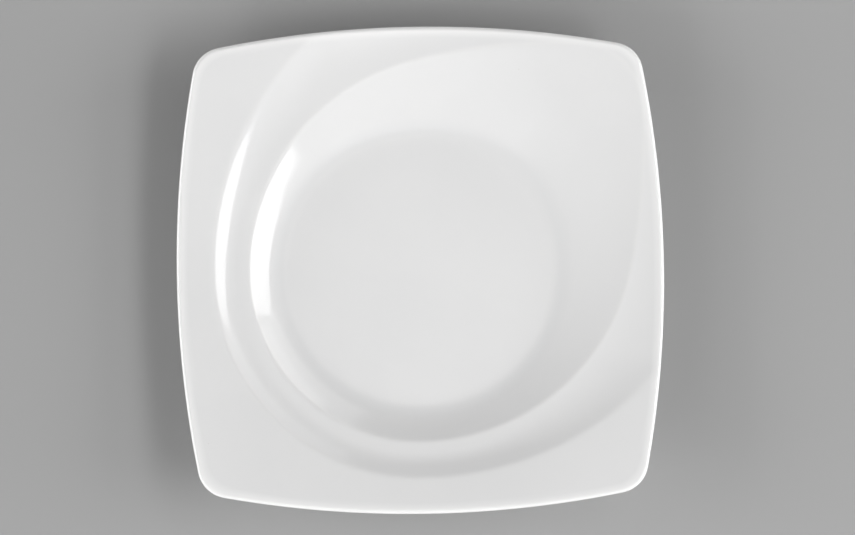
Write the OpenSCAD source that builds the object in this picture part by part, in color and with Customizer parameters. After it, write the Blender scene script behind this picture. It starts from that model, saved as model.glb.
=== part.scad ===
// Square dinner plate in glazed porcelain, with a round well and a swirled two-step rim.
// It stands on its foot ring at z = 0, with its centre on the Z axis.
// The swirl is tight round the corner at -X -Y and opens towards the corner at +X +Y.

/* [Outline] */
// Width across the middle of two opposite sides
plate_w = 265; // [245:1:300]
// Radius of the bow of each side
side_r = 556; // [400:1:900]
// Radius of each corner
corner_r = 17.5; // [10:0.5:30]

/* [Section] */
// Height of the edge above the table at the middle of a side
edge_h = 24.5; // [21:0.1:29]
// Rise of the rim towards the edge, in degrees
rim_rise = 9.5; // [5:0.5:11]
// Thickness of the plate, with its glaze
wall_t = 4.6; // [3.6:0.1:6]
// Thickness of the glaze
glaze_t = 0.3; // [0.2:0.05:0.6]
// Softness of the crests on the upper side
crest_round = 0.45; // [0.2:0.05:1.5]
// Softness of the same crests on the underside
under_round = 1.5; // [0.5:0.1:3]

/* [Well] */
// Radius of the flat floor
floor_r = 71.5; // [64:0.5:78]
// Part of the wall's width that the hollow curve from the floor takes, round the tight corner
sweep_tight_share = 0.53; // [0.2:0.01:0.7]
// The same part towards the open corner
sweep_open_share = 0.205; // [0.1:0.005:0.4]
// Slope at the wall's top, as a part of the slope above the hollow curve, round the tight corner
keep_tight_share = 1.2; // [0.8:0.05:1.6]
// The same part towards the open corner
keep_open_share = 0.54; // [0.3:0.01:1]

/* [Swirl] */
// Radius of the inner crest round the tight corner
inner_r = 93.4; // [89:0.1:99]
// Angle from the tight corner where the inner crest starts to open, in degrees
inner_start = 45; // [40:1:60]
// Radius of the inner crest as it opens
inner_sweep_r = 117; // [108:0.5:128]
// Direction of the inner crest's normal where its last bend starts, in degrees
inner_bend = 120.5; // [110:0.5:130]
// Radius of the last bend, before the crest runs straight along the side
inner_run_r = 282; // [220:1:330]
// Softness of the inner crest's turn at the open corner
open_round = 62; // [30:1:90]
// Radius of the outer crest round the tight corner
outer_r = 112.5; // [106:0.5:118]
// Angle from the tight corner where the outer crest starts to open, in degrees
outer_start = 42; // [30:0.5:60]
// Radius of the outer crest as it opens
outer_sweep_r = 166.5; // [148:0.5:196]
// How far the inner crest lies below the rim's slope, at the tight corner
ledge_drop = 2.5; // [1:0.1:3]
// Slope of the ledge outside the inner crest, as rise over run, round the tight corner
ledge_tight_share = 0.13; // [0.05:0.005:0.16]
// The same slope towards the open corner
ledge_open_share = 0.06; // [0:0.005:0.12]
// Part of the way to the outer crest where the ledge ends, round the tight corner
ledge_end_share = 0.34; // [0.1:0.01:0.5]
// Part of that way where the step has its full slope
step_full_share = 0.64; // [0.55:0.01:0.9]

/* [Foot ring] */
// Height of the foot ring below the underside
foot_h = 3.6; // [3:0.1:5]
// Width of the foot ring
foot_w = 4.2; // [3:0.1:7]
// Distance of the foot ring's outer wall inside the edge of the floor
foot_inset = 4; // [3:0.5:10]
// Radius of the hollow between the foot ring and the underside
foot_fillet = 1.6; // [1:0.1:2]
// Bevel on both edges of the standing face
foot_bevel = 0.5; // [0.2:0.1:0.8]
// Height of the bare band of the foot ring, below the end of the glaze
bare_h = 1.1; // [0.9:0.1:1.3]

/* [Detail] */
// Facets along each side
side_steps = 16; // [8:1:18]
// Facets round each corner
corner_steps = 4; // [3:1:6]
// Facets round a circle
round_steps = 120; // [48:4:180]

/* [Hidden] */

// Directions, in degrees
full_turn = 360;
quarter = 90;
diagonal = 45;
tight_corner = 225;
open_side = 135;
open_corner = 180;
// Angles from the tight corner between which the ledge comes up to the rim's slope
drop_from = 72;
drop_to = 148;
// Angles between which the hollow curve goes over to its part towards the open corner
sweep_from = 45;
sweep_to = 135;
// Angle past which the wall eases off at its top
keep_from = 125;
// Angles between which the ledge and the step go over into one hollow
cove_from = 50;
cove_to = 118;

half_w = plate_w / 2;
lip_r = wall_t / 2;
base_z = foot_h;
floor_z = base_z + wall_t;
body_base_z = base_z + glaze_t;
// Least distance between two rings of the mesh
min_band = 0.8;
// Least cosine that a length is divided by
min_cosine = 0.05;
// How far the foot ring runs up into the body
foot_bond = wall_t / 2;
foot_out = floor_r - foot_inset;
foot_in = foot_out - foot_w;
fillet_steps = 4;
// Flat ring outside the foot ring, where the coat and its collar overlap
flat_from = foot_out + foot_fillet;
coat_hole_r = flat_from + (floor_r - flat_from) / 3;
collar_r = flat_from + (floor_r - flat_from) * 2 / 3;

// Places of the rings between the floor, the crests and the edge
wall_shares = [0.08, 0.18, 0.3, 0.45, 0.62, 0.8];
cove_shares = [0.18, 0.36, 0.51, 0.66, 0.83];
rim_shares = [0.5];
under_wall_shares = [0.6, 0.3, 0.12];
lip_angles = [45, 0, -45];

function heading(a) = [cos(a), sin(a)];
function bearing(p) = atan2(p[1], p[0]);
function clamp(x, low, high) = max(low, min(x, high));
function ease(x, from, to) = let (t = clamp((x - from) / (to - from), 0, 1)) t * t * (3 - 2 * t);
function part_between(from, to, share) = from + (to - from) * share;
function soft_min(a, b, k) = min(a, b) - pow(max(k - abs(a - b), 0), 2) / (4 * k);

// Distance from the plate's centre to a circle, along a heading
function reach(c, r, a) =
    let (d = heading(a))
    c * d + sqrt(r * r - pow(c[0] * d[1] - c[1] * d[0], 2));

// Centre of the arc that carries on from another arc where its normal points along a heading
function next_centre(c, r, r_next, a) = c - (r_next - r) * heading(a);

// Outline: four bowed sides joined by corner arcs
side_c = [half_w - side_r, 0];
corner_c = reach(side_c, side_r - corner_r, diagonal) * heading(diagonal);
corner_at = bearing(corner_c + corner_r * (corner_c - side_c) / (side_r - corner_r));
corner_turn = quarter - 2 * corner_at;

function off_side(a) = abs((a + diagonal + full_turn) % quarter - diagonal);
function edge_at(a) =
    let (t = off_side(a))
    t < corner_at ? reach(side_c, side_r, t) : reach(corner_c, corner_r, t);

ray_angles = [
    for (q = [0 : 3]) each concat(
        [for (i = [0 : side_steps - 1]) q * quarter + corner_at * (2 * i / side_steps - 1)],
        [for (i = [0 : corner_steps - 1]) q * quarter + corner_at + corner_turn * i / corner_steps]
    )
];

// Crests, by the angle from the tight corner
function off_tight(a) = let (d = abs(a - tight_corner) % full_turn) min(d, full_turn - d);

inner_c1 = next_centre([0, 0], inner_r, inner_sweep_r, inner_start);
inner_c2 = next_centre(inner_c1, inner_sweep_r, inner_run_r, inner_bend);
inner_bend_at = bearing(inner_c1 + inner_sweep_r * heading(inner_bend));
inner_run_at = bearing(inner_c2 + inner_run_r * heading(open_side));
inner_run_y = inner_c2 * heading(open_side) + inner_run_r;
outer_c = next_centre([0, 0], outer_r, outer_sweep_r, outer_start);

// Straight along the side, and rounded off into the other side's run at the open corner
function open_run(p) =
    soft_min(
        inner_run_y / cos(p - open_side),
        inner_run_y / max(cos(p + open_side - full_turn), min_cosine),
        open_round
    );

function inner_crest(p) =
    p < inner_start ? inner_r :
    p < inner_bend_at ? reach(inner_c1, inner_sweep_r, p) :
    p < inner_run_at ? reach(inner_c2, inner_run_r, p) :
    open_run(p);

function outer_crest(p) = p < outer_start ? outer_r : reach(outer_c, outer_sweep_r, p);

// Upper side: the lowest of three dishes, the wall of the well, the ledge's hollow and the rim
function rim_z(r) = edge_h - (half_w - r) * tan(rim_rise);
function ledge_z(p) = rim_z(inner_crest(p)) - ledge_drop * (1 - ease(p, drop_from, drop_to));

function wall_z(r, p) =
    let (
        w = inner_crest(p) - floor_r,
        sweep = w * part_between(sweep_tight_share, sweep_open_share, ease(p, sweep_from, sweep_to)),
        keep = part_between(keep_tight_share, keep_open_share, ease(p, keep_from, open_corner)),
        slope = (ledge_z(p) - floor_z) / (sweep / 2 + (w - sweep) * (1 + 2 * keep) / 3),
        x = max(r - floor_r, 0),
        hollow = min(x, sweep),
        run = max(x - sweep, 0),
        left = 1 - min(run / (w - sweep), 1)
    )
    floor_z + slope * (
        hollow * hollow / (2 * sweep) + keep * run + (1 - keep) * (w - sweep) * (1 - pow(left, 3)) / 3
    );

function cove_z(r, a, p) =
    let (
        opening = ease(p, cove_from, cove_to),
        slope = part_between(ledge_tight_share, ledge_open_share, opening),
        end_r = min(outer_crest(p), edge_at(a)),
        w = max(end_r - inner_crest(p), min_band),
        bend_from = w * part_between(ledge_end_share, 0, opening),
        bend = w * part_between(step_full_share, 1, opening) - bend_from,
        steeper = (rim_z(end_r) - ledge_z(p) - slope * w) / (w - bend_from - bend / 2),
        x = r - inner_crest(p),
        bent = clamp(x - bend_from, 0, bend),
        past = max(x - bend_from - bend, 0)
    )
    ledge_z(p) + slope * x + steeper * (bent * bent / (2 * bend) + past);

function dish_z(r, a, k) =
    let (p = off_tight(a))
    soft_min(soft_min(wall_z(r, p), cove_z(r, a, p), k), rim_z(r), k);

function top_z(r, a) = dish_z(r, a, crest_round);
function under_z(r, a) = dish_z(r, a, under_round) - wall_t;

// Rings along one heading, each as [radius, height], for the surface at depth g under the glaze's own
function lip_ring(a) = edge_at(a) - lip_r;
function inner_ring(a) = clamp(inner_crest(off_tight(a)), floor_r + min_band, lip_ring(a) - 2 * min_band);
function outer_ring(a) = clamp(outer_crest(off_tight(a)), inner_ring(a) + min_band, lip_ring(a) - min_band);
function part_way(from, to, shares) = [for (s = shares) from + (to - from) * s];

function top_rings(a, g) =
    let (
        r_in = inner_ring(a),
        r_out = outer_ring(a),
        r_lip = lip_ring(a),
        radii = concat(
            [floor_r], part_way(floor_r, r_in, wall_shares),
            [r_in], part_way(r_in, r_out, cove_shares),
            [r_out], part_way(r_out, r_lip, rim_shares), [r_lip]
        )
    )
    [for (r = radii) [r, top_z(r, a) - g]];

function lip_rings(a, g) =
    let (r_lip = lip_ring(a), z_lip = top_z(r_lip, a) - lip_r)
    concat(
        [for (t = lip_angles) [r_lip, z_lip] + (lip_r - g) * heading(t)],
        [[r_lip, z_lip - lip_r + g]]
    );

function under_rings(a, g) =
    let (
        r_in = inner_ring(a),
        r_out = outer_ring(a),
        r_lip = lip_ring(a),
        radii = concat(
            part_way(r_out, r_lip, rim_shares), [r_out, (r_in + r_out) / 2, r_in],
            part_way(floor_r, r_in, under_wall_shares), [floor_r]
        )
    )
    [for (r = radii) [r, under_z(r, a) + g]];

function section(a, g) = concat(top_rings(a, g), lip_rings(a, g), under_rings(a, g));
function coat_section(a, g) = concat(section(a, g), [[coat_hole_r, base_z + g]]);
function backwards(list) = [for (i = [len(list) - 1 : -1 : 0]) list[i]];

// Solid from one section along every heading, each section a list of [radius, height]
// From ring back_from on, facets are split the other way, to lie flush on a section run forwards
module turned_skin(sections, back_from) {
    rays = len(sections);
    rings = len(sections[0]);
    points = [
        for (j = [0 : rays - 1], s = sections[j])
            [s[0] * cos(ray_angles[j]), s[0] * sin(ray_angles[j]), s[1]]
    ];
    faces = concat(
        [[for (j = [rays - 1 : -1 : 0]) j * rings]],
        [
            for (j = [0 : rays - 1], i = [0 : rings - 2])
                let (here = j * rings + i, next = ((j + 1) % rays) * rings + i)
                each i < back_from ?
                    [[here, next, next + 1], [here, next + 1, here + 1]] :
                    [[here, next, here + 1], [next, next + 1, here + 1]]
        ],
        [[for (j = [0 : rays - 1]) j * rings + rings - 1]]
    );
    polyhedron(points, faces);
}

// Hollow between a wall at r and the underside, as an arc on the side that way points to
function root_arc(r, way, arc_r) =
    let (c = [r + way * foot_fillet, body_base_z - foot_fillet])
    [for (i = [0 : fillet_steps]) let (t = quarter * i / fillet_steps) c + arc_r * [-way * cos(t), sin(t)]];

// Fired porcelain, with its foot ring; only the foot of the ring is left bare
module porcelain_body() {
    color("#e9e4d8") {
        sections = [for (a = ray_angles) section(a, glaze_t)];
        turned_skin(sections, len(sections[0]));
        rotate_extrude($fn = round_steps)
            polygon(concat(
                [[foot_in + foot_bevel, 0], [foot_out - foot_bevel, 0], [foot_out, foot_bevel]],
                root_arc(foot_out, 1, foot_fillet),
                [[flat_from, body_base_z + foot_bond], [foot_in - foot_fillet, body_base_z + foot_bond]],
                backwards(root_arc(foot_in, -1, foot_fillet)),
                [[foot_in, foot_bevel]]
            ));
    }
}

// Glaze over the upper side, the lip and the underside, down the outside of the foot ring
module glaze_coat() {
    color("#f7f7f4") {
        sections = [for (a = ray_angles) concat(coat_section(a, 0), backwards(coat_section(a, glaze_t)))];
        turned_skin(sections, len(sections[0]) / 2);
        rotate_extrude($fn = round_steps)
            polygon(concat(
                [[foot_out, bare_h]],
                root_arc(foot_out, 1, foot_fillet),
                [[collar_r, body_base_z], [collar_r, base_z]],
                backwards(root_arc(foot_out, 1, foot_fillet - glaze_t)),
                [[foot_out + glaze_t, bare_h]]
            ));
    }
}

// Glaze over the base inside the foot ring, parted from the coat by the bare band
module base_glaze() {
    color("#f2f2ee")
        rotate_extrude($fn = round_steps)
            polygon(concat(
                [[0, base_z]],
                backwards(root_arc(foot_in, -1, foot_fillet - glaze_t)),
                [[foot_in - glaze_t, bare_h], [foot_in, bare_h]],
                root_arc(foot_in, -1, foot_fillet),
                [[0, body_base_z]]
            ));
}

porcelain_body();
glaze_coat();
base_glaze();
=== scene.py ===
"""Looks of a square porcelain dinner plate with a round well and a swirled, stepped rim.

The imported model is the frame. The glaze and the body under it are modelled here as fine skins that follow the plate's
own rule, and the glaze of the base is turned inside the foot ring.
"""
import logging
import math
from dataclasses import dataclass, field
from enum import Enum
from typing import Any, Dict, List, Mapping, Optional, Tuple, Union

import bpy
from bpy.types import Material, Node, NodeSocket, NodeTree, Object
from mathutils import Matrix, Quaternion, Vector


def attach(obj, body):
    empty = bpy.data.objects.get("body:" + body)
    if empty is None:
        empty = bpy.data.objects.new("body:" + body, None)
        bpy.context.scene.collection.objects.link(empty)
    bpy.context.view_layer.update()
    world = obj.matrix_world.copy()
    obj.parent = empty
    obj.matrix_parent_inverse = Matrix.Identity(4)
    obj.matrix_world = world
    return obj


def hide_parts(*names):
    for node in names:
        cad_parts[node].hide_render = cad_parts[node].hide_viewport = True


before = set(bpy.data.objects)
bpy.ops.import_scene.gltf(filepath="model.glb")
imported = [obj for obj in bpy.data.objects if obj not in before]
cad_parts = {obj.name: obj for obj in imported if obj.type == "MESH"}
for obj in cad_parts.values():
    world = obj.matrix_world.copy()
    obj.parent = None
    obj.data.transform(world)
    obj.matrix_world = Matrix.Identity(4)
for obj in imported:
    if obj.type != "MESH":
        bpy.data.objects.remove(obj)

MM: float = 0.001
TURN: float = 2 * math.pi
QUARTER: float = math.pi / 2
DIAGONAL: float = math.pi / 4
CORNERS: int = 4
GLAZE_TAPER: float = 3.0
# Marks painted into the glaze's colour: thin glaze on the crests, lighter partly as painted light; pooled glaze, darker
# partly as painted shade; and the lip's painted glow
MARKS: Tuple[str, str, str] = ("thin", "pool_and_shade", "painted_lip_glow")
PATTERN_TURN: Tuple[float, float, float] = (0.7, 0.45, 0.9)

log = logging.getLogger("plate")

Colour = Tuple[float, float, float, float]
Number = Union["Field", float]
Socket = Union[int, str]
Setting = Mapping[str, Any]
Sockets = Mapping[Socket, Any]


class Field:
    """One node's output socket, for use in Python expressions."""

    def __init__(self, graph: "Graph", socket: NodeSocket) -> None:
        """Wraps a socket.

        Args:
            graph: The node tree that the socket is in.
            socket: The output socket.
        """
        self.graph = graph
        self.socket = socket

    def __add__(self, other: Number) -> "Field":
        """self + other."""
        return self.graph.math("ADD", self, other)

    __radd__ = __add__

    def __sub__(self, other: Number) -> "Field":
        """self - other."""
        return self.graph.math("SUBTRACT", self, other)

    def __rsub__(self, other: Number) -> "Field":
        """other - self."""
        return self.graph.math("SUBTRACT", other, self)

    def __mul__(self, other: Number) -> "Field":
        """self * other."""
        return self.graph.math("MULTIPLY", self, other)

    __rmul__ = __mul__

    def __truediv__(self, other: Number) -> "Field":
        """self / other."""
        return self.graph.math("DIVIDE", self, other)

    def __rtruediv__(self, other: Number) -> "Field":
        """other / self."""
        return self.graph.math("DIVIDE", other, self)

    def __pow__(self, other: Number) -> "Field":
        """self ** other."""
        return self.graph.math("POWER", self, other)

    def __lt__(self, other: Number) -> "Field":
        """1 where self is less than other, else 0."""
        return self.graph.math("LESS_THAN", self, other)

    def __gt__(self, other: Number) -> "Field":
        """1 where self is more than other, else 0."""
        return self.graph.math("GREATER_THAN", self, other)

    def __abs__(self) -> "Field":
        """Size without sign."""
        return self.graph.math("ABSOLUTE", self)

    def sqrt(self) -> "Field":
        """Square root."""
        return self.graph.math("SQRT", self)

    def sin(self) -> "Field":
        """Sine of an angle in radians."""
        return self.graph.math("SINE", self)

    def cos(self) -> "Field":
        """Cosine of an angle in radians."""
        return self.graph.math("COSINE", self)

    def exp(self) -> "Field":
        """e to the power of self."""
        return self.graph.math("EXPONENT", self)

    def low(self, other: Number) -> "Field":
        """The lower of two values."""
        return self.graph.math("MINIMUM", self, other)

    def high(self, other: Number) -> "Field":
        """The higher of two values."""
        return self.graph.math("MAXIMUM", self, other)

    def wrap(self, top: float, bottom: float) -> "Field":
        """Value brought into a range by whole turns of it."""
        return self.graph.math("WRAP", self, top, bottom)

    def share(self, start: Number, end: Number) -> "Field":
        """How far self has come from start to end, kept between 0 and 1."""
        return ((self - start) / (end - start)).high(0.0).low(1.0)

    def ease(self, start: Number, end: Number) -> "Field":
        """As share, but with a soft start and end."""
        t = self.share(start, end)
        return t * t * (3.0 - 2.0 * t)

    def pick(self, yes: Number, no: Number) -> "Field":
        """yes where self is 1, no where self is 0, and a mix in between."""
        return no + self * (yes - no)


class Graph:
    """A node tree under construction, for shaders and for geometry."""

    # A Mix node's factor, its two colours and its colour output
    MIX_INPUTS: Tuple[int, int, int] = (0, 6, 7)
    MIX_OUTPUT: int = 2

    def __init__(self, tree: NodeTree) -> None:
        """Wraps a node tree.

        Args:
            tree: The tree that nodes are added to.
        """
        self.tree = tree

    def node(self, kind: str, settings: Optional[Setting] = None, sockets: Optional[Sockets] = None) -> Node:
        """Adds one node.

        Args:
            kind: The node's type.
            settings: Its properties, which are set first.
            sockets: Its inputs by name or number, each a value, a Field or a socket to link.

        Returns:
            The new node.
        """
        node = self.tree.nodes.new(kind)
        for name, value in (settings or {}).items():
            setattr(node, name, value)
        for name, value in (sockets or {}).items():
            self.feed(node, name, value)
        return node

    def feed(self, node: Node, name: Socket, value: Any) -> None:
        """Sets or links one input of a node.

        Args:
            node: The node.
            name: The input's name or number.
            value: A value, a Field or a socket to link.
        """
        source = value.socket if isinstance(value, Field) else value
        if isinstance(source, NodeSocket):
            self.tree.links.new(source, node.inputs[name])
        else:
            node.inputs[name].default_value = source

    def value(
        self, kind: str, settings: Optional[Setting], sockets: Optional[Sockets], output: Socket = 0,
    ) -> Field:
        """Adds one node and gives one of its outputs as a Field.

        Args:
            kind: The node's type.
            settings: Its properties.
            sockets: Its inputs.
            output: The output's name or number.

        Returns:
            The output.
        """
        return Field(self, self.node(kind, settings, sockets).outputs[output])

    def math(self, operation: str, *values: Number) -> Field:
        """Adds a Math node on the values, in order."""
        return self.value("ShaderNodeMath", {"operation": operation}, dict(enumerate(values)))

    def mix(self, factor: Number, first: Any, second: Any) -> Field:
        """Mixes two colours, each a Field or (r, g, b, alpha)."""
        inputs = dict(zip(self.MIX_INPUTS, (factor, first, second)))
        return self.value("ShaderNodeMix", {"data_type": "RGBA"}, inputs, self.MIX_OUTPUT)


class Stretch(Enum):
    """Stretches of the plate's section, in order from the middle of the floor round to the middle of the base."""

    FLOOR = "floor"
    WALL = "wall"
    COVE = "cove"
    RIM = "rim"
    LIP = "lip"
    UNDER = "under"
    FLAT = "flat"
    ROOT = "root"
    FOOT_WALL = "foot_wall"
    BARE_BAND = "bare_band"
    OUTER_ROUND = "outer_round"
    STANDING_FACE = "standing_face"
    INNER_ROUND = "inner_round"
    INNER_WALL = "inner_wall"
    INNER_ROOT = "inner_root"
    BASE = "base"


Along = Mapping[Stretch, Field]


class Layer(Enum):
    """What a skin is: the glaze, out over the plate and back under itself, or the body below it, all round."""

    GLAZE = "glaze"
    BODY = "body"


GLAZED_RINGS: Dict[Stretch, int] = {
    Stretch.FLOOR: 10,
    Stretch.WALL: 28,
    Stretch.COVE: 26,
    Stretch.RIM: 14,
    Stretch.LIP: 22,
    Stretch.UNDER: 26,
    Stretch.FLAT: 2,
    Stretch.ROOT: 6,
    Stretch.FOOT_WALL: 4,
}
BARE_RINGS: Dict[Stretch, int] = {
    Stretch.BARE_BAND: 2,
    Stretch.OUTER_ROUND: 5,
    Stretch.STANDING_FACE: 4,
    Stretch.INNER_ROUND: 5,
    Stretch.INNER_WALL: 3,
    Stretch.INNER_ROOT: 6,
    Stretch.BASE: 8,
}


@dataclass(frozen=True)
class Arc:
    """A circle that a crest or the edge follows for some way, by its centre and radius."""

    x: float
    y: float
    radius: float

    def reach(self, angle: Field) -> Field:
        """Distance from the plate's centre to the circle, along a heading.

        Args:
            angle: The heading, in radians.

        Returns:
            The distance.
        """
        along = self.x * angle.cos() + self.y * angle.sin()
        across = self.x * angle.sin() - self.y * angle.cos()
        return along + (self.radius ** 2 - across * across).sqrt()

    def follow(self, normal: float, radius: float) -> "Arc":
        """The arc that carries on from this one where its normal points along a heading.

        Args:
            normal: The heading of the normal, in radians.
            radius: The next arc's radius.

        Returns:
            The next arc.
        """
        back = radius - self.radius
        return Arc(self.x - back * math.cos(normal), self.y - back * math.sin(normal), radius)

    def bearing(self, normal: float) -> float:
        """Heading, from the plate's centre, of the point where the arc's normal has a given heading."""
        return math.atan2(self.y + self.radius * math.sin(normal), self.x + self.radius * math.cos(normal))


@dataclass(frozen=True)
class Ray:
    """What the plate's rule gives along one heading from its centre.

    Attributes:
        heading: Angle about the plate's axis.
        off_tight: Angle from the tight corner, either way.
        edge: Distance of the plate's edge.
        inner: Distance of the inner crest.
        outer: Distance of the outer crest.
        ledge: Height of the inner crest.
    """

    heading: Field
    off_tight: Field
    edge: Field
    inner: Field
    outer: Field
    ledge: Field


@dataclass(frozen=True)
class PlateForm:
    """Sizes of the plate, in metres and radians, and the rule that its surface follows.

    Names in tight hold round the tight corner of the swirl, and those in open at the open corner. Names in from and to
    are angles from the tight corner, between which the one turns into the other.
    """

    # Outline, thickness and lip
    width: float = 265 * MM
    side_bow: float = 556 * MM
    corner: float = 17.5 * MM
    edge_height: float = 24.5 * MM
    rim_rise: float = math.radians(9.5)
    thickness: float = 4.6 * MM
    glaze: float = 0.3 * MM
    lip_roll: float = 2.7 * MM
    lip_drop: float = 2.5 * MM
    # Well: sweep is the part of its wall that curves up, keep the slope at the crest over that at the sweep's end
    floor: float = 71.5 * MM
    sweep_tight: float = 0.53
    sweep_open: float = 0.205
    sweep_from: float = math.radians(45)
    sweep_to: float = math.radians(135)
    keep_tight: float = 1.2
    keep_open: float = 0.54
    keep_from: float = math.radians(125)
    # Crests, each by the radii of its arcs and the angles where one arc follows another
    tight_corner: float = math.radians(225)
    inner: float = 93.4 * MM
    inner_start: float = math.radians(45)
    inner_sweep: float = 117 * MM
    inner_bend: float = math.radians(120.5)
    inner_run: float = 282 * MM
    open_side: float = math.radians(135)
    corner_soft: float = 62 * MM
    least_cosine: float = 0.05
    outer: float = 112.5 * MM
    outer_start: float = math.radians(42)
    outer_sweep: float = 166.5 * MM
    outer_swell: float = 0.8 * MM
    tight_to: float = math.radians(20)
    tight_end: float = math.radians(75)
    # Ledge and step: their shares are parts of the way between the crests, where the ledge ends and the step is full
    ledge_drop: float = 2.5 * MM
    ledge_lift: float = 0.22 * MM
    ledge_tight: float = 0.13
    ledge_open: float = 0.06
    ledge_share: float = 0.34
    step_share: float = 0.63
    step_tight: float = 0.1
    cove_from: float = math.radians(50)
    cove_to: float = math.radians(118)
    drop_from: float = math.radians(72)
    drop_to: float = math.radians(148)
    least_band: float = 0.4 * MM
    # Foot ring
    foot_height: float = 3.6 * MM
    foot_width: float = 4.2 * MM
    foot_inset: float = 4 * MM
    foot_fillet: float = 1.6 * MM
    foot_round: float = 0.5 * MM
    bare_height: float = 1.1 * MM

    @property
    def half(self) -> float:
        """Half the plate's width."""
        return self.width / 2

    @property
    def floor_z(self) -> float:
        """Height of the floor."""
        return self.foot_height + self.thickness

    @property
    def foot(self) -> float:
        """Radius of the foot ring's outer wall, under its glaze."""
        return self.floor - self.foot_inset

    @property
    def foot_inside(self) -> float:
        """Radius of the foot ring's inner wall, under its glaze."""
        return self.foot - self.foot_width

    @property
    def body_base(self) -> float:
        """Height of the body's base, above its glaze."""
        return self.foot_height + self.glaze

    @property
    def root_height(self) -> float:
        """Height where the foot ring's walls end and their hollow roots start."""
        return self.body_base - self.foot_fillet

    def ray(self, heading: Field) -> Ray:
        """Follows the rule along one heading.

        Args:
            heading: Angle about the plate's axis.

        Returns:
            The distances and the height along it.
        """
        off_tight = abs((heading - self.tight_corner).wrap(math.pi, -math.pi))
        inner = self.inner_crest(off_tight)
        ledge = self.rim_z(inner) - self.ledge_drop * (1 - off_tight.ease(self.drop_from, self.drop_to))
        return Ray(heading, off_tight, self.edge(heading), inner, self.outer_crest(off_tight), ledge)

    def edge(self, heading: Field) -> Field:
        """Distance from the centre to the plate's edge.

        Args:
            heading: Angle about the plate's axis.

        Returns:
            The distance.
        """
        side = Arc(self.half - self.side_bow, 0.0, self.side_bow)
        inset = Arc(side.x, 0.0, self.side_bow - self.corner)
        across = inset.x * math.sin(DIAGONAL)
        diagonal = inset.x * math.cos(DIAGONAL) + math.sqrt(inset.radius ** 2 - across ** 2)
        corner = Arc(diagonal * math.cos(DIAGONAL), diagonal * math.sin(DIAGONAL), self.corner)
        reach = self.corner / inset.radius
        handover = math.atan2(corner.y * (1 + reach), corner.x + (corner.x - side.x) * reach)
        off_side = abs(heading.wrap(DIAGONAL, -DIAGONAL))
        return (off_side < handover).pick(side.reach(off_side), corner.reach(off_side))

    def inner_crest(self, off_tight: Field) -> Field:
        """Distance from the centre to the inner crest.

        Args:
            off_tight: Angle from the tight corner.

        Returns:
            The distance.
        """
        first = Arc(0.0, 0.0, self.inner).follow(self.inner_start, self.inner_sweep)
        last = first.follow(self.inner_bend, self.inner_run)
        run = last.x * math.cos(self.open_side) + last.y * math.sin(self.open_side) + last.radius
        along = run / (off_tight - self.open_side).cos()
        across = run / (off_tight + self.open_side - TURN).cos().high(self.least_cosine)
        straight = soft_low(along, across, self.corner_soft)
        bend = (off_tight < last.bearing(self.open_side)).pick(last.reach(off_tight), straight)
        opening = (off_tight < first.bearing(self.inner_bend)).pick(first.reach(off_tight), bend)
        return (off_tight < self.inner_start).pick(self.inner, opening)

    def outer_crest(self, off_tight: Field) -> Field:
        """Distance from the centre to the outer crest.

        Args:
            off_tight: Angle from the tight corner.

        Returns:
            The distance.
        """
        sweep = Arc(0.0, 0.0, self.outer).follow(self.outer_start, self.outer_sweep)
        crest = (off_tight < self.outer_start).pick(self.outer, sweep.reach(off_tight))
        return crest + self.outer_swell * self.tight(off_tight)

    def tight(self, off_tight: Field) -> Field:
        """1 round the tight corner, fading to 0 where the crests open out."""
        return 1 - off_tight.ease(self.tight_to, self.tight_end)

    def rim_z(self, radius: Number) -> Number:
        """Height of the rim's cone."""
        return self.edge_height - (self.half - radius) * math.tan(self.rim_rise)

    def wall_z(self, radius: Field, floor: Field, ray: Ray) -> Field:
        """Height of the well's wall, which curves up over its sweep and then bends to the slope that it keeps.

        Args:
            radius: Distance from the centre.
            floor: Radius of the floor.
            ray: The rule along this heading.

        Returns:
            The height.
        """
        width = ray.inner - floor
        opening = ray.off_tight.ease(self.sweep_from, self.sweep_to)
        sweep = width * (self.sweep_tight + (self.sweep_open - self.sweep_tight) * opening)
        rest = width - sweep
        keep = self.keep_tight + (self.keep_open - self.keep_tight) * ray.off_tight.ease(self.keep_from, math.pi)
        slope = (ray.ledge - self.floor_z) / (sweep / 2 + rest * (1 + 2 * keep) / 3)
        x = (radius - floor).high(0.0)
        run = (x - sweep).high(0.0)
        left = 1 - (run / rest).low(1.0)
        hollow = x.low(sweep)
        rise = hollow * hollow / (2 * sweep) + keep * run + (1 - keep) * rest * (1 - left ** 3.0) / 3
        return self.floor_z + slope * rise

    def cove_z(self, radius: Field, ray: Ray) -> Field:
        """Height of the ledge and the step between the inner crest and the outer crest or the edge.

        Args:
            radius: Distance from the centre.
            ray: The rule along this heading.

        Returns:
            The height.
        """
        tight = self.tight(ray.off_tight)
        opening = ray.off_tight.ease(self.cove_from, self.cove_to)
        ledge = ray.ledge + self.ledge_lift * tight
        slope = self.ledge_tight + (self.ledge_open - self.ledge_tight) * opening
        end = ray.outer.low(ray.edge)
        width = (end - ray.inner).high(self.least_band)
        bend_from = width * self.ledge_share * (1 - opening)
        share = self.step_share + self.step_tight * tight
        bend = width * (share + (1 - share) * opening) - bend_from
        steeper = (self.rim_z(end) - ledge - slope * width) / (width - bend_from - bend / 2)
        x = radius - ray.inner
        bent = (x - bend_from).high(0.0).low(bend)
        past = (x - bend_from - bend).high(0.0)
        return ledge + slope * x + steeper * (bent * bent / (2 * bend) + past)


def soft_low(first: Field, second: Field, soft: Number) -> Field:
    """The lower of two values, with the crest between them rounded.

    Args:
        first: One value.
        second: The other value.
        soft: How much of a difference is rounded off.

    Returns:
        The value.
    """
    near = (soft - abs(first - second)).high(0.0)
    return first.low(second) - near * near / (4 * soft)


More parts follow.
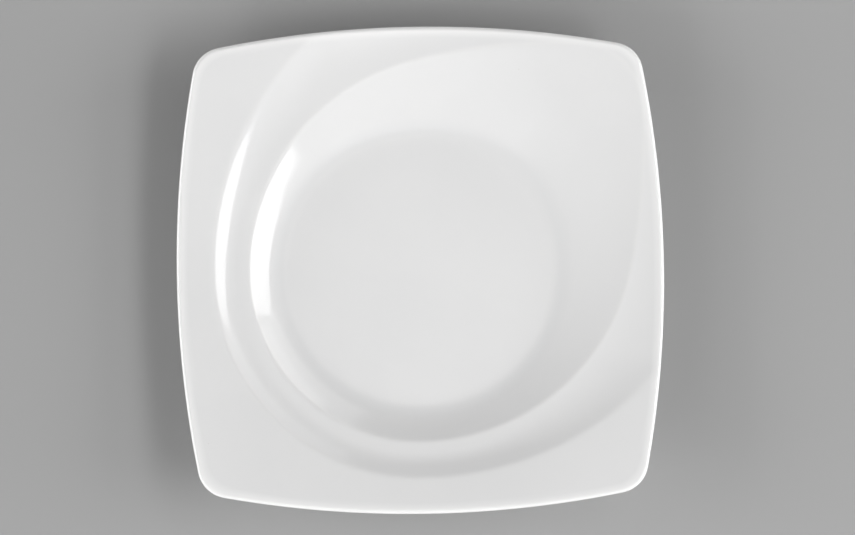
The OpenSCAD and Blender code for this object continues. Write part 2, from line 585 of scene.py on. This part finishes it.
class SkinTree:
    """Geometry Nodes tree that lays a fine skin over the plate's rule."""

    SIZES: Dict[str, str] = {
        "Rays": "NodeSocketInt",
        "Floor Radius": "NodeSocketFloat",
        "Thickness": "NodeSocketFloat",
        "Glaze": "NodeSocketFloat",
        "Inner Softness": "NodeSocketFloat",
        "Outer Softness": "NodeSocketFloat",
        "Under Softness": "NodeSocketFloat",
        "Finish": "NodeSocketMaterial",
    }
    # The grid that becomes the skin, and how its points crowd at corners, crests and lip
    GRID: float = 1.0
    HALF_STEP: float = 0.5
    MERGE: float = 0.01 * MM
    CORNER_CROWD: float = 0.15
    WALL_CROWD: float = 1.6
    RIM_CROWD: float = 1.5
    LIP_OVER: float = 0.64
    SOFTENED: float = 0.25
    # Reach of the glaze's thin places on the crests, lighter partly as painted light; its pooled places, darker partly
    # as painted shade; and its painted glow at the lip
    CREST_REACH: float = 1.4 * MM
    OUTER_CREST: float = 0.6
    POOL_SHADE_FULL: float = 0.5 * MM
    POOL_SHADE_END: float = 3 * MM
    GLOW_FROM: float = 6.0 * MM
    GLOW_FULL: float = 2.2 * MM
    GLOW_FADE: float = 0.3 * MM
    GLOW_EDGE: float = 0.3

    def __init__(self, form: PlateForm, layer: Layer) -> None:
        """Builds the tree.

        Args:
            form: The plate's sizes and rule.
            layer: What the skin is.
        """
        self.form = form
        self.layer = layer
        self.rings = GLAZED_RINGS if layer is Layer.GLAZE else {**GLAZED_RINGS, **BARE_RINGS}
        self.tree = bpy.data.node_groups.new(f"{layer.value}_skin", "GeometryNodeTree")
        self.graph = Graph(self.tree)
        self.identifiers: Dict[str, str] = {}
        for name, kind in self.SIZES.items():
            socket = self.tree.interface.new_socket(name, in_out="INPUT", socket_type=kind)
            self.identifiers[name] = socket.identifier
        self.tree.interface.new_socket("Geometry", in_out="OUTPUT", socket_type="NodeSocketGeometry")
        group = self.graph.node("NodeGroupInput")
        self.sizes = {name: Field(self.graph, group.outputs[name]) for name in self.SIZES}
        self._build()

    def _build(self) -> None:
        """Adds the nodes, from the grid to the output."""
        graph, form, sizes = self.graph, self.form, self.sizes
        rings = sum(self.rings.values())
        steps = 2 * rings + 1 if self.layer is Layer.GLAZE else rings
        grid = graph.node("GeometryNodeMeshGrid", None, {
            "Size X": self.GRID, "Size Y": self.GRID, "Vertices X": sizes["Rays"] + 1, "Vertices Y": steps + 1,
        })
        place = graph.node("ShaderNodeSeparateXYZ", None, {0: graph.node("GeometryNodeInputPosition").outputs[0]})
        turn = (Field(graph, place.outputs["X"]) + self.GRID / 2) * -TURN
        step = (Field(graph, place.outputs["Y"]) + self.GRID / 2) * steps
        back = step > rings + self.HALF_STEP
        along = self._stretches(back.pick(steps - step, step))
        thinning = along[Stretch.FOOT_WALL] ** GLAZE_TAPER if self.layer is Layer.GLAZE else 1.0
        depth = sizes["Glaze"] * back.pick(1.0, thinning)

        ray = form.ray(turn + self.CORNER_CROWD * (CORNERS * turn).sin())
        over_turn = along[Stretch.LIP].share(0.0, self.LIP_OVER) * QUARTER
        under_turn = along[Stretch.LIP].share(self.LIP_OVER, 1.0) * QUARTER
        radius = self._radius(along, ray, over_turn, under_turn)
        wall = form.wall_z(radius, sizes["Floor Radius"], ray)
        dish = self._dish(radius, wall, along, ray)

        lip_z = form.lip_drop * (over_turn.cos() - 1) - (sizes["Thickness"] - form.lip_drop) * under_turn.sin()
        facing = over_turn.sin() * under_turn.cos()
        root = sizes["Glaze"] * -1 + form.foot_fillet + depth
        root_turn = along[Stretch.ROOT] * QUARTER
        foot_z = root * (root_turn.cos() - 1)
        wall_drop = (form.root_height - form.bare_height) * along[Stretch.FOOT_WALL]
        inwards, upwards = self._foot_ring(along)
        height = dish - depth * (over_turn.cos() - under_turn.sin()) + lip_z + foot_z - wall_drop + upwards
        out = radius - depth * facing - root * root_turn.sin() - inwards
        position = graph.node("ShaderNodeCombineXYZ", None, {
            0: out * ray.heading.cos(), 1: out * ray.heading.sin(), 2: height,
        })
        marked = self._mark(grid.outputs["Mesh"], self._marks(radius, wall, along, ray))
        skin = graph.node("GeometryNodeSetPosition", None, {"Geometry": marked, "Position": position.outputs[0]})
        self._finish(skin.outputs[0])

    def _stretches(self, ring: Field) -> Dict[Stretch, Field]:
        """How far each stretch has been followed at a ring, from 0 to 1.

        Args:
            ring: The ring's number, from the middle of the floor.

        Returns:
            The share of each stretch.
        """
        shares, start = {}, 0
        for stretch, count in self.rings.items():
            shares[stretch] = ring.share(start, start + count)
            start += count
        return shares

    def _radius(self, along: Along, ray: Ray, over_turn: Field, under_turn: Field) -> Field:
        """Distance from the centre at each ring, down to where the foot ring starts.

        Args:
            along: How far each stretch has been followed.
            ray: The rule along this heading.
            over_turn: How far the lip has turned from its top to its side.
            under_turn: How far it has turned from its side to the underside.

        Returns:
            The distance.
        """
        form, floor = self.form, self.sizes["Floor Radius"]
        lip = self.sizes["Thickness"] / 2
        roll_from = ray.edge - form.lip_roll
        inner_ring = ray.inner.low(roll_from - 2 * form.least_band)
        outer_ring = ray.outer.low(roll_from - form.least_band).high(inner_ring + form.least_band)
        flat_from = form.foot + form.foot_fillet
        return (
            floor * along[Stretch.FLOOR]
            + (inner_ring - floor) * (1 - (1 - along[Stretch.WALL]) ** self.WALL_CROWD)
            + (outer_ring - inner_ring) * along[Stretch.COVE].ease(0.0, 1.0)
            + (roll_from - outer_ring) * along[Stretch.RIM] ** self.RIM_CROWD
            + form.lip_roll * over_turn.sin()
            - lip * (1 - under_turn.cos())
            - (ray.edge - lip - floor) * along[Stretch.UNDER]
            - (floor - flat_from) * along[Stretch.FLAT]
        )

    def _dish(self, radius: Field, wall: Field, along: Along, ray: Ray) -> Field:
        """Height of the upper side, as the lowest of wall, ledge and rim, with softer crests for the underside.

        Args:
            radius: Distance from the centre.
            wall: Height of the well's wall.
            along: How far each stretch has been followed.
            ray: The rule along this heading.

        Returns:
            The height.
        """
        sizes = self.sizes
        below = along[Stretch.UNDER].share(0.0, self.SOFTENED)
        inner_soft = below.pick(sizes["Under Softness"], sizes["Inner Softness"])
        outer_soft = below.pick(sizes["Under Softness"], sizes["Outer Softness"])
        beyond = radius.high(sizes["Floor Radius"])
        well = soft_low(wall, self.form.cove_z(beyond, ray), inner_soft)
        return soft_low(well, self.form.rim_z(beyond), outer_soft)

    def _foot_ring(self, along: Along) -> Tuple[Number, Number]:
        """Way from the end of the glaze round the foot ring to the middle of the base.

        Args:
            along: How far each stretch has been followed.

        Returns:
            How far in and how far up the way has led; zeros on the glaze, which ends above it.
        """
        form = self.form
        if self.layer is Layer.GLAZE:
            return 0.0, 0.0
        outer_turn = along[Stretch.OUTER_ROUND] * QUARTER
        inner_turn = along[Stretch.INNER_ROUND] * QUARTER
        root_turn = along[Stretch.INNER_ROOT] * QUARTER
        inwards = (
            form.foot_round * (1 - outer_turn.cos() + inner_turn.sin())
            + (form.foot_width - 2 * form.foot_round) * along[Stretch.STANDING_FACE]
            + form.foot_fillet * (1 - root_turn.cos())
            + (form.foot_inside - form.foot_fillet) * along[Stretch.BASE]
        )
        upwards = (
            form.foot_round * (1 - outer_turn.sin() - inner_turn.cos())
            - (form.bare_height - form.foot_round) * along[Stretch.BARE_BAND]
            + (form.root_height - form.foot_round) * along[Stretch.INNER_WALL]
            + form.foot_fillet * root_turn.sin()
        )
        return inwards, upwards

    def _marks(self, radius: Field, wall: Field, along: Along, ray: Ray) -> Dict[str, Field]:
        """Where the glaze is thin on a crest, lighter partly as painted light; where it has pooled in a hollow, darker
        partly as painted shade; and the lip's painted glow, a lighter colour for light through the body.

        Args:
            radius: Distance from the centre.
            wall: Height of the well's wall.
            along: How far each stretch has been followed.
            ray: The rule along this heading.

        Returns:
            The three values, by the name of their attribute.
        """
        # Near the crests the glaze is thin; its lighter colour there is partly painted light
        crest = self._near(radius - ray.inner) + self._near(radius - ray.outer) * self.OUTER_CREST
        # Pool at the foot of the wall, where the colour is darker, partly as painted shade
        climbed = wall - self.form.floor_z
        pool_and_shade = climbed.ease(0.0, self.POOL_SHADE_FULL) * (1 - climbed.ease(self.POOL_SHADE_FULL, self.POOL_SHADE_END))
        # Painted glow: lighter towards the lip, eased off at the very edge
        from_edge = radius - ray.edge
        fade = from_edge.share(-self.GLOW_FULL, -self.GLOW_FADE) * (1 - self.GLOW_EDGE)
        # The pool also fills the foot ring's root, darker there partly as painted shade
        return dict(zip(MARKS, (
            (crest * (1 - along[Stretch.LIP])).low(1.0),
            pool_and_shade + along[Stretch.ROOT] * (1 - along[Stretch.FOOT_WALL]),
            from_edge.share(-self.GLOW_FROM, -self.GLOW_FULL) * (1 - fade),
        )))

    def _near(self, distance: Field) -> Field:
        """1 on a crest, fading to 0 a little way from it."""
        return (distance / self.CREST_REACH * (distance / self.CREST_REACH) * -1).exp()

    def _mark(self, geometry: NodeSocket, attributes: Mapping[str, Field]) -> NodeSocket:
        """Stores values on the points of the grid, before it is laid out.

        Args:
            geometry: The grid.
            attributes: Values to keep on the points, by name.

        Returns:
            The marked grid.
        """
        for name, value in attributes.items():
            stored = self.graph.node("GeometryNodeStoreNamedAttribute", {"data_type": "FLOAT", "domain": "POINT"}, {
                "Geometry": geometry, "Name": name, "Value": value,
            })
            geometry = stored.outputs[0]
        return geometry

    def _finish(self, geometry: NodeSocket) -> None:
        """Closes the seam and the poles, and ends the tree.

        Args:
            geometry: The laid-out grid.
        """
        graph = self.graph
        closed = graph.node("GeometryNodeMergeByDistance", None, {"Geometry": geometry, "Distance": self.MERGE})
        smooth = graph.node("GeometryNodeSetShadeSmooth", {"domain": "FACE"}, {"Geometry": closed.outputs[0]})
        real = graph.node("GeometryNodeRealizeInstances", None, {"Geometry": smooth.outputs[0]})
        dressed = graph.node("GeometryNodeSetMaterial", None, {
            "Geometry": real.outputs[0], "Material": self.sizes["Finish"],
        })
        graph.node("NodeGroupOutput", None, {"Geometry": dressed.outputs[0]})

    def make(self, name: str, values: Mapping[str, Any]) -> Object:
        """Runs the tree and keeps its result as a plain mesh.

        Args:
            name: The piece's name.
            values: The tree's inputs, by name.

        Returns:
            The piece.
        """
        piece = bpy.data.objects.new(name, bpy.data.meshes.new(name))
        bpy.context.scene.collection.objects.link(piece)
        modifier = piece.modifiers.new("skin", "NODES")
        modifier.node_group = self.tree
        for label, value in values.items():
            modifier[self.identifiers[label]] = value
        graph = bpy.context.evaluated_depsgraph_get()
        mesh = bpy.data.meshes.new_from_object(piece.evaluated_get(graph), depsgraph=graph)
        piece.modifiers.remove(modifier)
        piece.data = mesh
        mesh.name = name
        return piece


class Finish:
    """Base of the finishes: one material with a Principled surface and Object coordinates."""

    # A dot's radius over that of its full middle
    DOT_TO_CORE: float = 3.0
    name: str

    def _start(self) -> Tuple[Material, Graph, Node, NodeSocket]:
        """Makes the empty material.

        Returns:
            The material, its graph, its surface shader and its Object coordinates.
        """
        material = bpy.data.materials.new(self.name)
        material.use_nodes = True
        material.node_tree.nodes.clear()
        graph = Graph(material.node_tree)
        surface = graph.node("ShaderNodeBsdfPrincipled")
        graph.node("ShaderNodeOutputMaterial", None, {"Surface": surface.outputs[0]})
        coords = graph.node("ShaderNodeTexCoord").outputs["Object"]
        turned = graph.node("ShaderNodeMapping", None, {"Vector": coords, "Rotation": PATTERN_TURN})
        return material, graph, surface, turned.outputs[0]

    @staticmethod
    def _noise(graph: Graph, coords: NodeSocket, scale: float, detail: float) -> Field:
        """Cloudy pattern, from 0 to 1.

        Args:
            graph: The material's graph.
            coords: Where the pattern is read.
            scale: Clouds to a metre.
            detail: Octaves of finer clouds.

        Returns:
            The pattern.
        """
        return graph.value("ShaderNodeTexNoise", None, {"Vector": coords, "Scale": scale, "Detail": detail})

    @classmethod
    def _dots(cls, graph: Graph, coords: NodeSocket, scale: float, rarity: float, size: float) -> Field:
        """Rare round dots, 1 in their middle and 0 away from them.

        Args:
            graph: The material's graph.
            coords: Where the pattern is read.
            scale: Places for a dot, to a metre.
            rarity: Part of the places that stay empty.
            size: Radius of a dot, as a part of the distance between places.

        Returns:
            The dots.
        """
        cells = graph.node("ShaderNodeTexVoronoi", None, {"Vector": coords, "Scale": scale})
        rare = graph.value("ShaderNodeSeparateColor", None, {0: cells.outputs["Color"]}) > rarity
        return (1 - Field(graph, cells.outputs["Distance"]).share(size / cls.DOT_TO_CORE, size)) * rare

    @staticmethod
    def _relief(graph: Graph, surface: Node, height: Field) -> None:
        """Gives the surface a fine relief.

        Args:
            graph: The material's graph.
            surface: Its surface shader.
            height: The relief, in metres.
        """
        bump = graph.node("ShaderNodeBump", None, {"Strength": 1.0, "Distance": 1.0, "Height": height})
        graph.feed(surface, "Normal", bump.outputs[0])


@dataclass(frozen=True)
class WhiteGlaze(Finish):
    """Clear glossy glaze over white porcelain: slight waves; pooled in hollows, darker partly as painted shade; thin on
    the crests, lighter partly as painted light; and a painted glow at the lip, a lighter colour standing in for light
    shining through the body."""

    name: str = "white_glaze"
    white: Colour = (0.809, 0.808, 0.807, 1.0)
    cloud: Colour = (0.79, 0.79, 0.79, 1.0)
    # The pooled colour is darker partly as painted shade, the thinned colour lighter partly as painted light, and the
    # glowing colour is painted light at the lip
    pooled_and_shaded: Colour = (0.772, 0.774, 0.775, 1.0)
    thinned_and_lit: Colour = (0.828, 0.826, 0.822, 1.0)
    painted_glow: Colour = (0.9, 0.898, 0.893, 1.0)
    speck: Colour = (0.55, 0.53, 0.5, 1.0)
    pool_and_shade_share: float = 0.8
    thin_and_lit_share: float = 0.7
    cloud_scale: float = 14.0
    cloud_detail: float = 4.0
    cloud_from: float = 0.35
    cloud_full: float = 0.7
    speck_scale: float = 160.0
    speck_rarity: float = 0.985
    speck_size: float = 0.06
    speck_share: float = 0.5
    gloss: float = 0.07
    gloss_spread: float = 0.05
    gloss_scale: float = 42.0
    gloss_detail: float = 6.0
    ior: float = 1.5
    wave_scale: float = 26.0
    wave_detail: float = 1.0
    wave_height: float = 0.03 * MM
    peel_scale: float = 320.0
    peel_detail: float = 2.0
    peel_height: float = 0.0012 * MM

    def make(self) -> Material:
        """Builds the material.

        Returns:
            The material.
        """
        material, graph, surface, coords = self._start()
        thin, pool_and_shade, painted_lip_glow = [
            graph.value("ShaderNodeAttribute", {"attribute_name": mark}, None, "Fac") for mark in MARKS
        ]
        clouds = self._noise(graph, coords, self.cloud_scale, self.cloud_detail)
        colour = graph.mix(clouds.ease(self.cloud_from, self.cloud_full), self.white, self.cloud)
        # Pooled glaze at the wall's foot and the foot ring's root: darker, partly painted shade
        colour = graph.mix(pool_and_shade * self.pool_and_shade_share, colour, self.pooled_and_shaded)
        # Thin glaze on the crests: lighter, partly painted light
        colour = graph.mix(thin * self.thin_and_lit_share, colour, self.thinned_and_lit)
        # Painted glow at the lip: a lighter colour that stands in for light through the body
        colour = graph.mix(painted_lip_glow, colour, self.painted_glow)
        specks = self._dots(graph, coords, self.speck_scale, self.speck_rarity, self.speck_size)
        graph.feed(surface, "Base Color", graph.mix(specks * self.speck_share, colour, self.speck))
        patches = self._noise(graph, coords, self.gloss_scale, self.gloss_detail)
        graph.feed(surface, "Roughness", self.gloss + self.gloss_spread * patches)
        graph.feed(surface, "IOR", self.ior)
        waves = self._noise(graph, coords, self.wave_scale, self.wave_detail) * self.wave_height
        peel = self._noise(graph, coords, self.peel_scale, self.peel_detail) * self.peel_height
        self._relief(graph, surface, waves + peel)
        return material


@dataclass(frozen=True)
class BarePorcelain(Finish):
    """Unglazed, polished porcelain of the foot ring: matte, fine-grained and a little grey where it has rubbed."""

    name: str = "bare_porcelain"
    body: Colour = (0.78, 0.75, 0.69, 1.0)
    rubbed: Colour = (0.6, 0.58, 0.54, 1.0)
    grit: Colour = (0.42, 0.37, 0.31, 1.0)
    rub_scale: float = 90.0
    rub_detail: float = 5.0
    rub_from: float = 0.5
    rub_full: float = 0.75
    rub_share: float = 0.6
    grit_scale: float = 700.0
    grit_rarity: float = 0.94
    grit_size: float = 0.35
    grit_share: float = 0.7
    rough: float = 0.62
    rough_spread: float = 0.2
    rough_scale: float = 180.0
    rough_detail: float = 4.0
    grain_scale: float = 1400.0
    grain_detail: float = 4.0
    grain_height: float = 0.012 * MM

    def make(self) -> Material:
        """Builds the material.

        Returns:
            The material.
        """
        material, graph, surface, coords = self._start()
        rubs = self._noise(graph, coords, self.rub_scale, self.rub_detail).ease(self.rub_from, self.rub_full)
        colour = graph.mix(rubs * self.rub_share, self.body, self.rubbed)
        grits = self._dots(graph, coords, self.grit_scale, self.grit_rarity, self.grit_size)
        graph.feed(surface, "Base Color", graph.mix(grits * self.grit_share, colour, self.grit))
        patches = self._noise(graph, coords, self.rough_scale, self.rough_detail)
        graph.feed(surface, "Roughness", self.rough + self.rough_spread * patches)
        grain = self._noise(graph, coords, self.grain_scale, self.grain_detail) * self.grain_height
        self._relief(graph, surface, grain)
        return material


@dataclass
class BaseGlaze:
    """Glaze on the base inside the foot ring, turned as a shallow dish down to the bare band."""

    form: PlateForm
    rays: int = 256
    flat_rings: int = 8
    root_rings: int = 8
    wall_rings: int = 4

    @property
    def root_from(self) -> float:
        """Radius where the flat base ends and the hollow root of the foot ring starts."""
        return self.form.foot_inside - self.form.foot_fillet

    def _section(self, depth: float) -> List[Tuple[float, float]]:
        """Section of the glaze's surface, or of its back against the body.

        Args:
            depth: How far under the surface.

        Returns:
            Radius and height of each ring, from beside the axis to the glaze line.
        """
        form, start = self.form, self.root_from
        root = form.foot_fillet - form.glaze + depth
        section = [(start * (i + 1) / self.flat_rings, form.root_height + root) for i in range(self.flat_rings)]
        for i in range(1, self.root_rings + 1):
            turn = QUARTER * i / self.root_rings
            section.append((start + root * math.sin(turn), form.root_height + root * math.cos(turn)))
        for i in range(1, self.wall_rings + 1):
            share = i / self.wall_rings
            thin = (form.glaze - depth) * share ** GLAZE_TAPER
            height = form.root_height + (form.bare_height - form.root_height) * share
            section.append((start + root + thin, height))
        return section

    def build(self, material: Material) -> Object:
        """Turns the glaze about the plate's axis.

        Args:
            material: Its finish.

        Returns:
            The piece.
        """
        form, rays = self.form, self.rays
        front, back = self._section(0.0), self._section(form.glaze)
        # Both sections end on the glaze line, which is kept once; the first two points are their middles
        rings = front + back[-2::-1]
        points = [(0.0, 0.0, form.foot_height), (0.0, 0.0, form.body_base)]
        first = len(points)
        last = first + (len(rings) - 1) * rays
        for radius, height in rings:
            for ray in range(rays):
                turn = TURN * ray / rays
                points.append((radius * math.cos(turn), radius * math.sin(turn), height))
        faces = []
        for ray in range(rays):
            beside = (ray + 1) % rays
            faces.append((0, first + beside, first + ray))
            faces.append((1, last + ray, last + beside))
            for here in range(first, last, rays):
                faces.append((here + ray, here + beside, here + rays + beside, here + rays + ray))
        mesh = bpy.data.meshes.new("base_glaze_skin")
        mesh.from_pydata(points, [], faces)
        mesh.shade_smooth()
        mesh.materials.append(material)
        # Pool in the foot ring's root, where the colour is darker, partly as painted shade
        pool_and_shade = mesh.attributes.new("pool_and_shade", "FLOAT", "POINT")
        for item, (x, y, z) in zip(pool_and_shade.data, points):
            climbed = min(max((z - form.root_height) / form.foot_fillet, 0.0), 1.0)
            item.value = climbed if math.hypot(x, y) > self.root_from else 0.0
        piece = bpy.data.objects.new("base_glaze_skin", mesh)
        bpy.context.scene.collection.objects.link(piece)
        return piece


@dataclass
class Plate:
    """The plate: its body, the glaze over it and the glaze of its base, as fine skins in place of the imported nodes."""

    form: PlateForm = field(default_factory=PlateForm)
    rays: int = 340
    inner_softness: float = 0.45 * MM
    outer_softness: float = 0.45 * MM
    under_softness: float = 1.5 * MM

    def build(self) -> List[Object]:
        """Makes and dresses the pieces.

        Returns:
            The pieces.
        """
        glaze = WhiteGlaze().make()
        bare = BarePorcelain().make()
        coat = self._skin(Layer.GLAZE, "glaze_skin", glaze)
        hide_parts("glaze_coat")
        body = self._skin(Layer.BODY, "porcelain_skin", bare)
        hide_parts("porcelain_body")
        base = BaseGlaze(self.form).build(glaze)
        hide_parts("base_glaze")
        pieces = [coat, body, base]
        for piece in pieces:
            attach(piece, "root")
        return pieces

    def _skin(self, layer: Layer, name: str, material: Material) -> Object:
        """Lays one skin over the plate's rule.

        Args:
            layer: What the skin is.
            name: The piece's name.
            material: Its finish.

        Returns:
            The piece.
        """
        return SkinTree(self.form, layer).make(name, {
            "Rays": self.rays,
            "Floor Radius": self.form.floor,
            "Thickness": self.form.thickness,
            "Glaze": self.form.glaze,
            "Inner Softness": self.inner_softness,
            "Outer Softness": self.outer_softness,
            "Under Softness": self.under_softness,
            "Finish": material,
        })


@dataclass(frozen=True)
class SoftBox:
    """A rectangular studio light, by its direction from the plate.

    Attributes:
        name: The light's name.
        azimuth: Its heading from +X, in degrees.
        zenith: Its angle from straight up, in degrees.
        width: Its longer side, in metres.
        height: Its other side, in metres.
        brightness: Radiance of its face.
        distance: How far away it hangs, in metres.
        roll: Its turn about its own axis, in degrees.
    """

    name: str
    azimuth: float
    zenith: float
    width: float
    height: float
    brightness: float
    distance: float = 2.9
    roll: float = 0.0

    def build(self, target: Vector) -> None:
        """Hangs the light, turned towards the target.

        Args:
            target: The point that it faces.
        """
        light = bpy.data.lights.new(self.name, "AREA")
        light.shape = "RECTANGLE"
        light.size = self.width
        light.size_y = self.height
        light.energy = self.brightness * math.pi * self.width * self.height
        azimuth, zenith = math.radians(self.azimuth), math.radians(self.zenith)
        way = Vector((math.sin(zenith) * math.cos(azimuth), math.sin(zenith) * math.sin(azimuth), math.cos(zenith)))
        lamp = bpy.data.objects.new(self.name, light)
        lamp.location = target + way * self.distance
        facing = way.to_track_quat("Z", "Y") @ Quaternion((0.0, 0.0, 1.0), math.radians(self.roll))
        lamp.rotation_euler = facing.to_euler()
        bpy.context.scene.collection.objects.link(lamp)


@dataclass(frozen=True)
class Studio:
    """Floor, light and camera.

    The picture's size and the plate's place and width in it are in pixels, the camera's sensor in millimetres.
    """

    image: Tuple[int, int] = (855, 535)
    centre_px: Tuple[float, float] = (420.4, 270.25)
    half_width_px: float = 243.64
    turn: float = math.radians(0.8)
    camera_height: float = 1.4
    sensor: float = 36.0
    floor_radius: float = 1.7
    floor_sides: int = 128
    floor_grey: Colour = (0.396, 0.396, 0.396, 1.0)
    floor_rough: float = 0.9
    floor_gloss: float = 0.0
    backdrop: Colour = (0.36, 0.36, 0.36, 1.0)
    lights: Tuple[SoftBox, ...] = (
        SoftBox("softbox_right", -16.5, 45.0, 2.37, 0.69, 5.36),
        SoftBox("softbox_right_end", -37.9, 39.7, 0.34, 0.12, 5.36, 3.0, -8.0),
        SoftBox("softbox_right_low", 0.0, 72.0, 2.0, 1.3, 6.4),
        SoftBox("softbox_left", 180.0, 74.0, 2.2, 1.3, 6.31),
        SoftBox("softbox_front", -90.0, 68.0, 3.4, 1.6, 2.02),
        SoftBox("softbox_front_left", -140.0, 60.0, 2.0, 1.0, 3.95),
        SoftBox("softbox_front_right", -40.0, 60.0, 2.0, 1.0, 1.81),
        SoftBox("panel_back", 42.0, 43.0, 1.8, 0.8, 1.3),
        SoftBox("panel_back_low", 34.0, 50.0, 1.5, 0.55, 1.52),
        SoftBox("panel_above", 0.0, 2.4, 0.64, 0.64, 0.33),
        SoftBox("panel_above_front", -90.0, 24.0, 2.0, 0.6, 0.42),
        SoftBox("strip_back", 90.0, 90.4, 4.0, 0.16, 21.85),
        SoftBox("strip_left", 180.0, 90.4, 3.0, 0.16, 13.9),
    )

    def build(self, form: PlateForm) -> None:
        """Makes the stage.

        Args:
            form: The plate's sizes, for the scale of the picture.
        """
        self._floor()
        self._light()
        self._camera(form)

    def _floor(self) -> None:
        """Lays a plain pale floor under the plate."""
        turns = [TURN * side / self.floor_sides for side in range(self.floor_sides)]
        rim = [(self.floor_radius * math.cos(turn), self.floor_radius * math.sin(turn), 0.0) for turn in turns]
        mesh = bpy.data.meshes.new("floor")
        mesh.from_pydata(rim, [], [tuple(range(self.floor_sides))])
        floor = bpy.data.objects.new("floor", mesh)
        bpy.context.scene.collection.objects.link(floor)
        material = bpy.data.materials.new("floor_grey")
        material.use_nodes = True
        graph = Graph(material.node_tree)
        surface = graph.tree.nodes["Principled BSDF"]
        graph.feed(surface, "Base Color", self.floor_grey)
        graph.feed(surface, "Roughness", self.floor_rough)
        graph.feed(surface, "Specular IOR Level", self.floor_gloss)
        mesh.materials.append(material)

    def _light(self) -> None:
        """Hangs the lights, in front of a pale backdrop that adds no light of its own."""
        world = bpy.data.worlds.new("studio")
        world.use_nodes = True
        graph = Graph(world.node_tree)
        background = graph.tree.nodes["Background"]
        graph.feed(background, "Color", self.backdrop)
        graph.feed(background, "Strength", graph.node("ShaderNodeLightPath").outputs["Is Camera Ray"])
        bpy.context.scene.world = world
        for light in self.lights:
            light.build(Vector((0.0, 0.0, 0.0)))
        bpy.context.scene.view_settings.view_transform = "Standard"

    def _camera(self, form: PlateForm) -> None:
        """Sets the camera straight above, with the plate where the picture has it.

        Args:
            form: The plate's sizes.
        """
        pixel = form.half / self.half_width_px
        right = Vector((math.cos(-self.turn), math.sin(-self.turn), 0.0))
        up = Vector((-right.y, right.x, 0.0))
        aside = (self.image[0] / 2 - self.centre_px[0]) * pixel
        above = (self.centre_px[1] - self.image[1] / 2) * pixel
        outline_height = form.edge_height - form.lip_drop
        camera = bpy.data.cameras.new("camera")
        camera.sensor_width = self.sensor
        camera.lens = self.sensor * (self.camera_height - outline_height) / (pixel * self.image[0])
        eye = bpy.data.objects.new("camera", camera)
        eye.location = right * aside + up * above + Vector((0.0, 0.0, self.camera_height))
        eye.rotation_euler = (0.0, 0.0, -self.turn)
        bpy.context.scene.collection.objects.link(eye)
        bpy.context.scene.camera = eye


def main() -> None:
    """Builds the plate and its stage, in order."""
    logging.basicConfig(level=logging.INFO)
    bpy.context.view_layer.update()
    plate = Plate()
    for piece in plate.build():
        log.info("%s: %d faces", piece.name, len(piece.data.polygons))
    Studio().build(plate.form)


if __name__ == "__main__":
    main()
